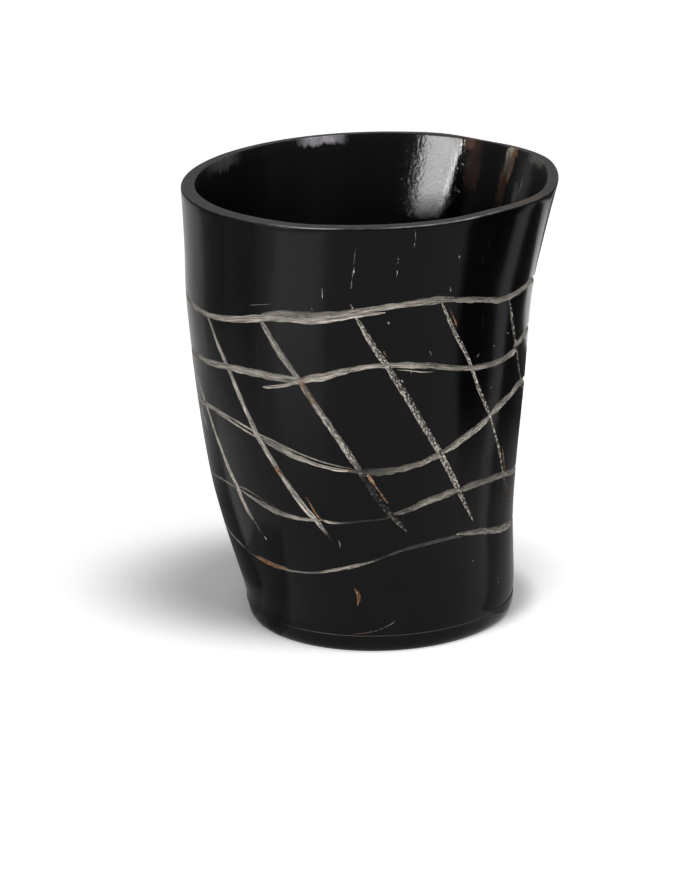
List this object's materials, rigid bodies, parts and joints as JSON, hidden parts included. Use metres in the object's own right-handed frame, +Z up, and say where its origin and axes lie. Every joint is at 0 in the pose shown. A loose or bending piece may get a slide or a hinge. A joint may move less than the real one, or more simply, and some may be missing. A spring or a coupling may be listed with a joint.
{
  "type": "horn drinking cup",
  "caption": "Small leaning drinking cup made from a hollow horn section, closed by a glued horn base plate, with a shallow net of hand-cut grooves round its side.",
  "frame": {"origin": "centre of the cup's underside, on the surface it stands on", "axes": "+Z up through the mouth, -X towards the side that the horn leans to, -Y towards the viewer of the picture"},
  "size_m": [0.0527, 0.0522, 0.0635],
  "materials": {
    "horn_wall": "polished black buffalo horn",
    "base_plate": "polished black buffalo horn",
    "glue_seam": "cured clear adhesive, darkened with horn dust"
  },
  "bodies": {
    "root": {"horn_wall": "horn_wall", "base_plate": "base_plate", "glue_seam": "glue_seam"}
  },
  "joints": []
}
